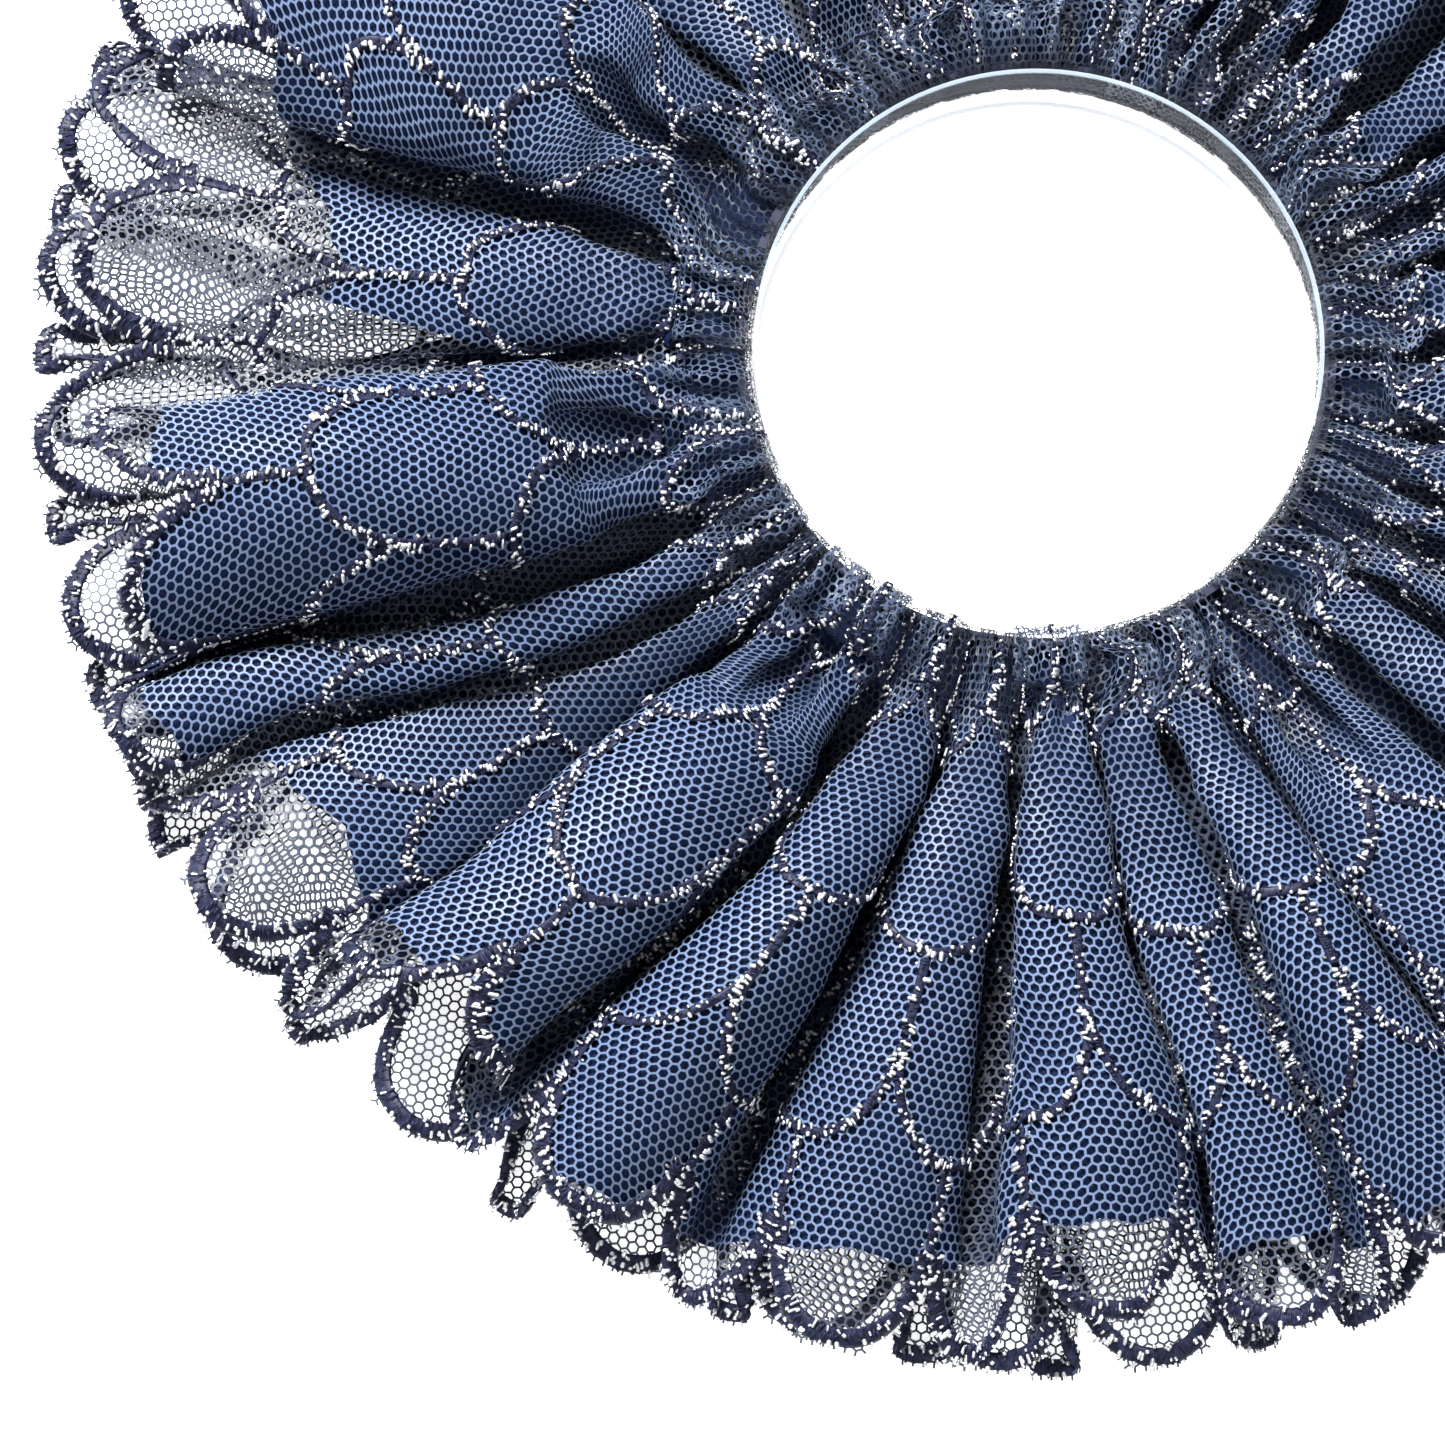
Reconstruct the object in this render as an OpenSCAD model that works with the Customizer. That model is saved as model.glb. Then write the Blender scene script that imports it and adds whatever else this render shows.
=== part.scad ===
// Gathered lace hair-bun ruffle on a clear hoop.
//
// One strip of scalloped embroidered net is folded along its middle over a
// ring of flat elastic, so that it makes an upper and a lower ruffle, with a
// dark lining between them. The gathered ring sits round a thin clear hoop.
// Millimetres. The origin is on the hoop's axis, in the plane it rests on.

/* [Hoop] */
// Inner diameter of the clear hoop
hoop_bore = 56.8; // [50:0.2:64]
// Wall of the clear hoop
hoop_wall = 0.4; // [0.3:0.1:0.6]
// Height of the clear hoop
hoop_height = 11; // [10:0.5:14]

/* [Elastic and casing] */
// Width of the flat elastic, which stands on edge round the hoop
elastic_width = 6; // [4:0.5:7]
// Thickness of the flat elastic
elastic_thickness = 0.8; // [0.6:0.1:1]
// Thickness of the gathered net round the elastic
casing_wall = 0.5; // [0.4:0.1:0.6]
// Thickness of the sewing thread
thread_thickness = 0.2; // [0.15:0.05:0.25]

/* [Ruffles] */
// Diameter over the lower ruffle's tips
ruffle_diameter = 208; // [200:1:220]
// How much further out the lower ruffle reaches than the upper one
lower_reach = 5; // [3:1:8]
// Number of folds round each ruffle
fold_count = 20; // [16:2:24]
// Half the height of a fold at the upper ruffle's outer edge
upper_fold = 6.5; // [4:0.5:7]
// Half the height of a fold at the lower ruffle's outer edge
lower_fold = 3.5; // [2:0.5:4]
// Thickness that stands for the folded net
net_thickness = 1; // [0.8:0.1:1.2]
// Thickness that stands for the folded lining
lining_thickness = 0.6; // [0.4:0.1:0.8]
// How much shorter the lining is than the upper ruffle
lining_setback = 12; // [8:1:16]

/* [Embroidery] */
// Depth of one scallop along the outer edges
scallop_depth = 5; // [4:0.5:6]
// Width of the satin border along the scallops
border_width = 2.6; // [2:0.2:3]
// Width of a satin line inside the border
scale_width = 1.8; // [1.4:0.2:2.2]
// Height of the satin stitches above the net
satin_height = 0.6; // [0.4:0.1:0.8]
// Width of the silver thread's line on the border
silver_width = 1; // [0.8:0.1:1.2]
// Height of the silver thread above the satin
silver_height = 0.3; // [0.2:0.1:0.4]

/* [Hidden] */

net_blue = [0.21, 0.28, 0.43];
lining_navy = [0.08, 0.11, 0.21];
satin_navy = [0.10, 0.12, 0.22];
silver_grey = [0.78, 0.80, 0.85];
clear_blue = [0.80, 0.88, 0.95, 0.35];
elastic_navy = [0.09, 0.11, 0.19];

// The hoop, casing and elastic are rings inside each other, with this much room.
room = 0.2;
round_detail = 180;
hoop_outer = hoop_bore / 2 + hoop_wall;
casing_inner = hoop_outer + room;
elastic_inner = casing_inner + casing_wall + room;
elastic_outer = elastic_inner + elastic_thickness;
// The zigzag stitches of the elastic's join stand on its outer face.
casing_outer = elastic_outer + thread_thickness + room + casing_wall;
elastic_bottom = 1.8;
casing_bottom = elastic_bottom - room - casing_wall;
casing_top = elastic_bottom + elastic_width + room + casing_wall;
casing_middle = (casing_bottom + casing_top) / 2;

// Zigzag that joins the elastic's two ends.
join_zigzags = 5;
join_width = 3;
// Bare elastic above and below the zigzag, and room between two of its stitches.
join_margin = 0.5;
join_spacing = 0.6;
// Gap that keeps sewn pieces from sharing a face.
sewn_gap = 0.02;

// Both ruffles leave the casing's outer face and spread outwards.
ruffle_inner = casing_outer + 0.1;
lower_outer = ruffle_diameter / 2;
upper_outer = lower_outer - lower_reach;
stations_per_fold = 6;
stations = fold_count * stations_per_fold;
station_angle = 360 / stations;
// The net's rings, as shares of the way from the casing to the scallops.
ring_shares = [0, 0.35, 1];
// Where each cloth, and the line of sewing, leaves the casing: heights above its middle.
lower_start = -1.75;
stitching_start = -0.6;
lining_start = 0.65;
upper_start = 2.1;
// Height of each cloth's middle surface at those rings.
lower_heights = [casing_middle + lower_start, 4.6, lower_fold + net_thickness / 2];
lining_heights = [casing_middle + lining_start, 10.2, 11.8];
upper_heights = [casing_middle + upper_start, 14.5, 15.5];
lining_outer = upper_outer - lining_setback;
// Share of the full fold height at those rings.
fold_shares = [0.1, 0.55, 1];
// Gap that keeps the embroidery just clear of the net under it.
stitch_gap = 0.2;

// Scale rows: radius as a share of the net, stations to each scale, and the gap
// under the row, which is wider where the folds change height quickly.
inner_row = [0.26, 6, 0.9];
middle_row = [0.5, 4, 0.4];
outer_row = [0.76, 3, 0.3];
border_stations = 3;

// The strip's closing seam, at a station number, and its size.
seam_station = 19;
seam_width = 1.2;
seam_height = 0.5;
seam_gap = 1;
// How far out each seam begins, where it has room below it, and where both end.
lower_seam_start = 0.12;
upper_seam_start = 0.3;
seam_end = 0.9;

// Linear interpolation of a list of values over the ring shares.
function over_rings(values, share) = share <= ring_shares[1]
    ? values[0] + (values[1] - values[0]) * share / ring_shares[1]
    : values[1] + (values[2] - values[1]) * (share - ring_shares[1]) / (1 - ring_shares[1]);

// Height of a ruffle's middle surface at a share of its depth and at a station.
function net_height(heights, fold, share, station) = over_rings(heights, share)
    + fold * over_rings(fold_shares, share) * cos(360 * station / stations_per_fold);

// The scallops' tips fall between two stations, so the net is drawn this much wider.
tip_loss = scallop_depth * (1 - sin(180 / border_stations));
function net_outer(outer) = outer + tip_loss;
function radius_at(outer, share) = ruffle_inner + share * (net_outer(outer) - ruffle_inner);
function share_at(outer, radius) = (radius - ruffle_inner) / (net_outer(outer) - ruffle_inner);

// How far a scallop is drawn in at a station: nothing at its middle, all at its cusp.
function scallop(station, span) = 1 - sin(180 * (station % span) / span);

function at_station(radius, station, height) =
    [radius * cos(station * station_angle), radius * sin(station * station_angle), height];

// A closed ring swept round the axis, one outline of points to each station.
module ring_of(outlines) {
    sides = len(outlines[0]);
    turns = len(outlines);
    points = [for (outline = outlines) each outline];
    faces = [for (turn = [0:turns - 1], side = [0:sides - 1])
        let (a = turn * sides + side,
             b = turn * sides + (side + 1) % sides,
             c = (turn + 1) % turns * sides + (side + 1) % sides,
             d = (turn + 1) % turns * sides + side)
        each [[a, b, c], [a, c, d]]];
    polyhedron(points = points, faces = faces, convexity = 10);
}

// A fluted ring of cloth, whose outer edge is cut in scallops of a given depth.
module cloth(heights, fold, outer, thickness, depth) {
    half = thickness / 2;
    function edge_share(station) =
        1 - scallop(station, border_stations) * depth / (net_outer(outer) - ruffle_inner);
    function ring_share(index, station) = index == 2 ? edge_share(station) : ring_shares[index];
    function net_point(index, station, side) = let (share = ring_share(index, station))
        at_station(radius_at(outer, share), station, net_height(heights, fold, share, station) + side * half);
    ring_of([for (station = [0:stations - 1]) [
        for (index = [0:2]) net_point(index, station, -1),
        for (index = [2:-1:0]) net_point(index, station, 1)]]);
}

module net(heights, fold, outer) { cloth(heights, fold, outer, net_thickness, scallop_depth); }

// A scalloped line of embroidery that lies above the net, three-sided in section.
module satin_line(heights, fold, outer, radius, width, span, lift, height) {
    function line_point(station, side, up) = let (
        at = radius - scallop_depth * scallop(station, span) + side * width / 2,
        bed = net_height(heights, fold, share_at(outer, at), station) + net_thickness / 2)
        at_station(at, station, bed + lift + up);
    ring_of([for (station = [0:stations - 1])
        [line_point(station, -1, 0), line_point(station, 1, 0), line_point(station, 0, height)]]);
}

module scale_row(heights, fold, outer, row) {
    satin_line(heights, fold, outer, radius_at(outer, row[0]), scale_width, row[1], row[2], satin_height);
}

module border(heights, fold, outer) {
    satin_line(heights, fold, outer, net_outer(outer) - border_width / 2, border_width,
               border_stations, stitch_gap, satin_height);
}

module silver(heights, fold, outer) {
    satin_line(heights, fold, outer, net_outer(outer) - border_width / 2, silver_width,
               border_stations, stitch_gap + satin_height + sewn_gap, silver_height);
}

// The seam's narrow turned-in edge, under the net along one fold.
module seam(heights, fold, outer, start) {
    under = net_thickness / 2 + seam_gap;
    shares = [start, ring_shares[1], seam_end];
    function seam_point(share, side, up) = let (
        across = asin(seam_width / 2 / radius_at(outer, share)) / station_angle,
        bed = net_height(heights, fold, share, seam_station) - under)
        at_station(radius_at(outer, share), seam_station + side * across, bed - up);
    outlines = [for (share = shares)
        [seam_point(share, -1, seam_height), seam_point(share, 1, seam_height),
         seam_point(share, 1, 0), seam_point(share, -1, 0)]];
    last = 4 * (len(shares) - 1);
    sides = [for (part = [0:len(shares) - 2], side = [0:3])
        let (a = 4 * part + side, b = 4 * part + (side + 1) % 4)
        each [[a, a + 4, b + 4], [a, b + 4, b]]];
    ends = [[0, 1, 2], [0, 2, 3], [last, last + 2, last + 1], [last, last + 3, last + 2]];
    polyhedron(points = [for (outline = outlines) each outline], faces = concat(sides, ends));
}

// A round tube, from an inner and an outer radius.
module tube(inner, outer, bottom, height) {
    rotate_extrude($fn = round_detail) translate([inner, bottom]) square([outer - inner, height]);
}

module clear_hoop() {
    color(clear_blue) tube(hoop_bore / 2, hoop_outer, 0, hoop_height);
}

module elastic_band() {
    color(elastic_navy) tube(elastic_inner, elastic_outer, elastic_bottom, elastic_width);
}

// Zigzag across the join of the elastic's ends, on its outer face.
module elastic_stitches() {
    rise = (elastic_width - 2 * join_margin) / join_zigzags;
    length = norm([join_width, rise]);
    color(satin_navy) for (stitch = [0:join_zigzags - 1])
        translate([elastic_outer + sewn_gap, 0, elastic_bottom + join_margin + (stitch + 0.5) * rise])
            rotate([(stitch % 2 == 0 ? 1 : -1) * atan2(rise, join_width), 0, 0])
                translate([0, -length / 2, -thread_thickness / 2])
                    cube([thread_thickness / 2, length - join_spacing, thread_thickness]);
}

// The fold of the strip that the elastic runs in.
module casing() {
    color(net_blue) rotate_extrude($fn = round_detail) difference() {
        translate([casing_inner, casing_bottom])
            square([casing_outer - casing_inner, casing_top - casing_bottom]);
        translate([casing_inner + casing_wall, casing_bottom + casing_wall])
            square([casing_outer - casing_inner - 2 * casing_wall,
                    casing_top - casing_bottom - 2 * casing_wall]);
    }
}

// The line of sewing that closes the casing between the two ruffles.
module casing_stitching() {
    color(satin_navy) rotate_extrude($fn = round_detail)
        translate([casing_outer + sewn_gap + thread_thickness, casing_middle + stitching_start])
            circle(r = thread_thickness, $fn = 24);
}

module lower_ruffle() {
    color(net_blue) net(lower_heights, lower_fold, lower_outer);
}

module lower_scales_inner() {
    color(satin_navy) scale_row(lower_heights, lower_fold, lower_outer, inner_row);
}

module lower_scales_middle() {
    color(satin_navy) scale_row(lower_heights, lower_fold, lower_outer, middle_row);
}

module lower_scales_outer() {
    color(satin_navy) scale_row(lower_heights, lower_fold, lower_outer, outer_row);
}

module lower_border() {
    color(satin_navy) border(lower_heights, lower_fold, lower_outer);
}

module lower_silver_thread() {
    color(silver_grey) silver(lower_heights, lower_fold, lower_outer);
}

module lower_seam() {
    color(satin_navy) seam(lower_heights, lower_fold, lower_outer, lower_seam_start);
}

// Smooth dark cloth under the upper net, with a plain cut edge.
module lining() {
    color(lining_navy) cloth(lining_heights, upper_fold, lining_outer, lining_thickness, 0);
}

module upper_ruffle() {
    color(net_blue) net(upper_heights, upper_fold, upper_outer);
}

module upper_scales_inner() {
    color(satin_navy) scale_row(upper_heights, upper_fold, upper_outer, inner_row);
}

module upper_scales_middle() {
    color(satin_navy) scale_row(upper_heights, upper_fold, upper_outer, middle_row);
}

module upper_scales_outer() {
    color(satin_navy) scale_row(upper_heights, upper_fold, upper_outer, outer_row);
}

module upper_border() {
    color(satin_navy) border(upper_heights, upper_fold, upper_outer);
}

module upper_silver_thread() {
    color(silver_grey) silver(upper_heights, upper_fold, upper_outer);
}

module upper_seam() {
    color(satin_navy) seam(upper_heights, upper_fold, upper_outer, upper_seam_start);
}

clear_hoop();
elastic_band();
elastic_stitches();
casing();
casing_stitching();
lower_ruffle();
lower_scales_inner();
lower_scales_middle();
lower_scales_outer();
lower_border();
lower_silver_thread();
lower_seam();
lining();
upper_ruffle();
upper_scales_inner();
upper_scales_middle();
upper_scales_outer();
upper_border();
upper_silver_thread();
upper_seam();
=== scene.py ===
"""Looks for the gathered lace bun ruffle.

The net, its satin and silver embroidery and the lining are cloth gathered from a flat strip. The hoop and the elastic
are the CAD's own pieces with materials. The floor, the light and the camera come last.
"""
import math
from collections import namedtuple

import bpy
import numpy as np
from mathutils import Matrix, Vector


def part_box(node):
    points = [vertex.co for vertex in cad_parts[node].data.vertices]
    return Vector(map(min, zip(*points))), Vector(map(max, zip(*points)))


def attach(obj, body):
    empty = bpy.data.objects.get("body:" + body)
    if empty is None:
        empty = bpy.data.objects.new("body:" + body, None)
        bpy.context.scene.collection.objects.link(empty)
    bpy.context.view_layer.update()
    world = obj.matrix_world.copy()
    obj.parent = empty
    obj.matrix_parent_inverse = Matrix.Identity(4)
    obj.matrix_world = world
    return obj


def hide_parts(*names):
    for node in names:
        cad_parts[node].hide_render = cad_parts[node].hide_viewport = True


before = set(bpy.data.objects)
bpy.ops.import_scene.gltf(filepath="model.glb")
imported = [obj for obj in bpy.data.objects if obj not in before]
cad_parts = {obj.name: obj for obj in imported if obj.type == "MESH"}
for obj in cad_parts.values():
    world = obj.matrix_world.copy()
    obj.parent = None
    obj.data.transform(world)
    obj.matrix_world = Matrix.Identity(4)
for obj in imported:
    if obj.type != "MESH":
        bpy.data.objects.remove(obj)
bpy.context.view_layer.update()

MM = 0.001

# The lace strip laid flat, in millimetres. u runs along it, and v across it from the fold over the elastic to the
# tips.
SCALLOPS = 66
SCALLOP_PITCH = 16.0
SCALLOP_DEPTH = 11.0
STRIP = SCALLOPS * SCALLOP_PITCH
DEPTH = 75.0
ROW_STEP = 20.0
FOLD_BACK = 3.5  # cloth between the middle of the casing's inner wall and its top

# A line of satin: its width, the height of its cord on each face, and how far apart the cord's corners, the stitches
# and the silver flecks lie along it.
Line = namedtuple("Line", "width cord_height cord_step stitch_step fleck_step")
BORDER = Line(2.5, 0.14, 0.4, 0.2, 0.26)
SCALE = Line(1.4, 0.1, 0.45, 0.3, 0.36)
SATIN_ROWS = {"border": [0], "scales_outer": [1], "scales_middle": [2], "scales_inner": [3, 4]}
SILVER_ROWS = {"border": [0], "outer": [1], "middle": [2], "inner": [3, 4]}

# The net's cells.
CELLS_ROUND = 1000
CELL = STRIP / CELLS_ROUND
CELL_ROW = CELL * math.sqrt(0.75)
NET_THREAD = 0.225
NET_PANELS = 4

# The sampled cloth: steps along u and along the radial path, and how far apart the finished cloth's rows are.
STEPS_U = 2112
STEPS_V = 160
STEP_U = STRIP / STEPS_U
CLOTH_STEP = 0.5
EVEN_OUT = 24  # columns on each side whose lengths are evened out

# The lobes of each ruffle, anticlockwise: where the lobe ends at the casing and at the rim in degrees, how many
# scallops of cloth it takes, how many tubes it rises from at the casing, the radius in mm that its folds turn at,
# and how high it arches in mm. Lobes meet in the middle of a scallop.
Lobe = namedtuple("Lobe", "at_casing at_rim scallops tubes turn arch")
UPPER_LOBES = [Lobe(*numbers) for numbers in [
    (164.5, 163.0, 5, 2, 2.2, 6.0), (180.0, 184.0, 2, 1, 1.2, -1.0), (207.0, 201.5, 3, 2, 2.6, 7.5),
    (218.0, 207.0, 2, 1, 1.8, 0.0), (224.0, 221.5, 2, 1, 1.1, -2.0), (245.0, 234.0, 3, 2, 2.4, 6.5),
    (256.0, 249.5, 2, 1, 2.3, 7.0), (266.5, 265.5, 2, 1, 1.9, 2.0), (277.0, 281.0, 2, 1, 2.2, 2.5),
    (286.5, 287.5, 2, 1, 1.6, -0.5), (296.0, 301.0, 2, 1, 2.3, 4.5), (312.0, 314.0, 3, 2, 1.9, 0.5),
    (324.0, 325.0, 2, 1, 2.3, 5.0), (338.0, 336.0, 3, 2, 2.1, 2.0), (347.0, 350.0, 2, 1, 1.7, -0.5),
    (360.0, 361.0, 2, 1, 2.4, 4.5), (372.0, 370.0, 2, 1, 1.9, 1.0), (387.0, 390.0, 3, 2, 2.4, 6.0),
    (398.0, 402.0, 2, 1, 1.5, -1.0), (409.0, 411.0, 2, 1, 2.3, 4.0), (424.0, 421.0, 3, 2, 2.1, 2.0),
    (434.0, 437.0, 2, 1, 2.4, 5.5), (446.0, 446.0, 2, 1, 1.7, 0.0), (461.0, 459.0, 3, 2, 2.3, 4.5),
    (472.0, 474.0, 2, 1, 2.0, 1.5), (485.0, 483.0, 3, 1, 2.3, 5.0), (498.0, 498.0, 3, 1, 1.6, -1.0)]]
LOWER_LOBES = [Lobe(*numbers) for numbers in [
    (170.5, 170.5, 2, 1, 1.3, 0.5), (179.2, 179.2, 2, 1, 1.2, 1.0), (189.6, 189.6, 2, 1, 1.3, 2.0),
    (199.6, 199.6, 2, 1, 1.1, 0.5), (209, 209, 2, 1, 1.3, 1.5), (223, 223, 2, 1, 1.2, 1.0),
    (238, 238, 2, 1, 1.3, 2.0), (251.8, 251.8, 2, 1, 1.2, 1.0), (263, 263, 2, 1, 1.1, 0.5),
    (270.6, 270.6, 2, 1, 1.3, 2.0), (282, 282, 2, 1, 1.2, 1.5), (296, 296, 2, 1, 1.2, 0.5),
    (305.6, 305.0, 2, 1, 1.2, 1.0), (314.5, 315.1, 2, 1, 1.3, 0.0), (325.0, 324.4, 2, 1, 1.2, 2.0),
    (334.1, 333.5, 2, 1, 1.2, 1.0), (342.8, 342.8, 2, 1, 1.2, 1.5), (353.3, 352.7, 2, 1, 1.1, 2.0),
    (366.7, 367.3, 2, 1, 1.1, 0.5), (379.5, 380.1, 2, 1, 1.2, 0.5), (392.0, 392.0, 2, 1, 1.2, 0.5),
    (401.5, 401.5, 2, 1, 1.1, 1.5), (412.8, 412.2, 2, 1, 1.1, 1.0), (422.6, 422.6, 2, 1, 1.1, 0.0),
    (431.9, 431.9, 2, 1, 1.2, 2.0), (440.8, 441.4, 2, 1, 1.3, 1.0), (450.3, 450.9, 2, 1, 1.2, 0.0),
    (463.7, 463.7, 2, 1, 1.3, 1.0), (476.6, 477.2, 2, 1, 1.3, 2.0), (489.4, 490.0, 2, 1, 1.3, 1.0),
    (502.1, 501.5, 2, 1, 1.2, 2.0), (511.5, 511.5, 2, 1, 1.3, 0.5), (521.5, 521.5, 2, 1, 1.2, 1.5)]]
FULL_TURN = 0.93 * math.pi  # a fold's cloth doubles back this far
TUBE_TURN = 1.2  # the radius in mm that every fold turns at by the casing
TUBE_RADII = (38, 62)  # between them the folds open from tubes to the lobe's own turn
SPREAD_RADII = (36, 92)  # between them the lobes' ends slide from their places at the casing to those at the rim
ARCH_RADII = (38, 104)  # a lobe arches between them
MERGE_RADIUS = 54  # where a lobe's tubes have grown together
VALLEY = 1.8  # half the gap between two lobes
VALLEY_SHARES = [(37, 0.5), (46, 1.25), (60, 1.15), (80, 0.8), (104, 0.05)]  # radius, and the share of that gap
TUBE_GAP = 0.3  # half the gap between two tubes of a lobe
HOLLOW = 2.0  # cloth on each side of the hollow between two tubes
TIGHTEST = 0.985  # the most of a lobe's cloth that can lie straight
FULL_HEIGHTS = [(30, 1.2), (38, 3.2), (46, 6.5), (80, 5.5)]  # radius, and the height at which a fold is fully open
FLUTTER = 0.9  # how far each scallop's tip curls up, in mm
WOBBLE = 0.8  # how far the cloth wanders at random, in mm
LOWEST = -2.0  # how far the cloth can sink below the valleys' path

# How far the lining reaches under each lobe, in v. It was cut by eye, with a slit in the second lobe.
LINING_REACH = [71, 47, 73, 70, 58, 72, 72, 65, 65, 66, 69, 62, 60, 70, 64, 58, 71, 66, 61, 70, 63, 59, 72, 65, 60,
                69, 63]
LINING_SLIT = (113.0, 6.0, 32)  # its middle and half width in u, and what is left there
LINING_START = 1.0  # where it begins by the casing, in v
LINING_GAP = 0.45  # between the lining and the net
LINING_FLAT = (8.0, 13.0)  # in v: below the first it lies flat, and from the second on it follows the net
LINING_GRID = (1056, 56)  # its mesh, along u and along v

# Small gathers of the casing, between the lobes' tubes.
GATHERS = 170
GATHER_TURN = 1.5  # how far the cloth's tangent swings, in radians

# The stitches that close the casing, where they are in v, and where the seams are matched to the CAD's.
CASING_STITCHES = 264
CASING_STITCH_V = 8.2
SEAM_MATCH_V = 40.0


def low_high(node):
    """A CAD node's box in millimetres."""
    low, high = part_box(node)
    return np.array(low) / MM, np.array(high) / MM


_, hoop_high = low_high("clear_hoop")
casing_low, casing_high = low_high("casing")
WALL_R = hoop_high[0] + 0.25  # the casing's inner wall, round the hoop
WALL_MIDDLE = (casing_low[2] + casing_high[2]) / 2
CLEAR_R = hoop_high[0] + 0.04  # nothing of the cloth comes nearer to the axis
CLEAR_Z = 0.05  # nor nearer to the floor


def smooth_step(x, low, high):
    """0 below low, 1 above high and smooth between them."""
    x = np.clip((x - low) / (high - low), 0.0, 1.0)
    return x * x * (3 - 2 * x)


def smooth_noise(rng, shape, cells):
    """Seeded noise on a grid that wraps along its first axis, from about -1 to 1."""
    knots = rng.uniform(-1, 1, (cells[0], cells[1] + 3))
    a = np.linspace(0, cells[0], shape[0], endpoint=False)
    b = np.linspace(0, cells[1], shape[1])
    ia, ib = a.astype(int), b.astype(int)
    fa = (a - ia)[:, None]
    fb = (b - ib)[None, :]
    fa, fb = fa * fa * (3 - 2 * fa), fb * fb * (3 - 2 * fb)
    ja = (ia + 1) % cells[0]
    near = knots[ia][:, ib] * (1 - fb) + knots[ia][:, ib + 1] * fb
    far = knots[ja][:, ib] * (1 - fb) + knots[ja][:, ib + 1] * fb
    return near * (1 - fa) + far * fa


class Cloth:
    """A sheet folded round the axis: position and normal at any (u, v) of the flat strip.

    openness is 1 on the top of a fold and falls to 0 at the bottom of a valley.
    """

    def __init__(self, points, openness, v_from, v_step):
        self.points, self.openness = points, openness[..., None]
        self.v_from, self.v_step = v_from, v_step
        along = np.roll(points, -1, axis=0) - np.roll(points, 1, axis=0)
        across = np.gradient(points, axis=1)
        normals = np.cross(across, along)
        self.normals = normals / np.maximum(np.linalg.norm(normals, axis=2, keepdims=True), 1e-9)

    def sample(self, grid, u, v):
        n_u, n_v = grid.shape[:2]
        a = (np.asarray(u) / STRIP * n_u) % n_u
        b = np.clip((np.asarray(v) - self.v_from) / self.v_step, 0, n_v - 1.001)
        i, j = a.astype(int), b.astype(int)
        fa, fb = (a - i)[..., None], (b - j)[..., None]
        i, k = i % n_u, (i + 1) % n_u
        return (grid[i, j] * (1 - fa) * (1 - fb) + grid[k, j] * fa * (1 - fb)
                + grid[i, j + 1] * (1 - fa) * fb + grid[k, j + 1] * fa * fb)

    def at(self, u, v, lift=0.0):
        lift = np.asarray(lift)
        lift = lift[..., None] if lift.ndim else lift
        return self.sample(self.points, u, v) + lift * self.sample(self.normals, u, v)


def path_points(knots):
    """The radial path (r, z) that the cloth's fold bottoms follow, evenly sampled and rounded at its corners."""
    knots = np.array(knots, float)
    length = np.concatenate([[0], np.cumsum(np.hypot(*np.diff(knots, axis=0).T))])
    at = np.linspace(0, length[-1], STEPS_V)
    path = np.stack([np.interp(at, length, knots[:, k]) for k in (0, 1)], axis=1)
    for _ in range(6):
        path[1:-1] = (path[:-2] + 2 * path[1:-1] + path[2:]) / 4
    return path


def one_fold(s, centre, half, turn, side):
    """How far the cloth's tangent has turned at s, near a fold.

    It turns one way and back, over 2 * half of cloth. side is +1 where the cloth rises into the fold's S and -1
    where it drops. The turn next to the valley is tighter.
    """
    away = (s - centre) * side
    share = np.minimum((half + away) / (0.8 * turn), (half - away) / (1.2 * turn))
    return side * FULL_TURN * np.clip(share, 0, 1)


def fold_reach(half, turn, gap):
    """How far a fold's middle must lie from its valley's middle, so that two facing folds don't meet."""
    straight = np.maximum(0, 2 * (half - turn))
    return half + straight + turn / FULL_TURN * smooth_step(half / turn, 0.5, 1.0) + gap


def most_half(length, turn, inner, gap):
    """The largest folds that a lobe of this length has room for."""
    low, high = np.zeros(STEPS_V), np.full(STEPS_V, length / 2)
    for _ in range(16):
        half = (low + high) / 2
        part = half * inner
        neck = np.maximum(0, 2 * (half - turn))
        need = (fold_reach(half, turn, gap) + half + neck
                + (fold_reach(part, turn, TUBE_GAP) + part + HOLLOW + neck * inner) * np.minimum(1, 3 * inner))
        fits = need < 0.49 * length
        low, high = np.where(fits, half, low), np.where(fits, high, half)
    return low


def lobe_tangent(s, length, half, turn, inner, gap, crown, lean):
    """The cloth's tangent angle across one lobe, from valley to valley.

    inner is how much of the valley between its two tubes is left, and crown how much its top bulges.
    """
    up, down = half * (1 - lean), half * (1 + lean)
    rise, drop = fold_reach(up, turn, gap), length - fold_reach(down, turn, gap)
    tangent = one_fold(s, rise, up, turn, 1) + one_fold(s, drop, down, turn, -1)
    part = half * inner
    away = (fold_reach(part, turn, TUBE_GAP) + HOLLOW) * np.minimum(1, 3 * inner)
    tangent += one_fold(s, length / 2 - away, part, turn, -1) * (inner > 0)
    tangent += one_fold(s, length / 2 + away, part, turn, 1) * (inner > 0)
    across = np.clip((s - rise) / np.maximum(drop - rise, 1), 0, 1)
    bulge = np.cos(math.pi * across) * np.minimum(1, np.minimum(s / rise, (length - s) / (length - drop)))
    return tangent + crown * bulge * (1 - inner)


def cloth_noise(rng, cells):
    """Noise for every sample of the cloth."""
    return smooth_noise(rng, (STEPS_U, STEPS_V), cells)


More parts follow.
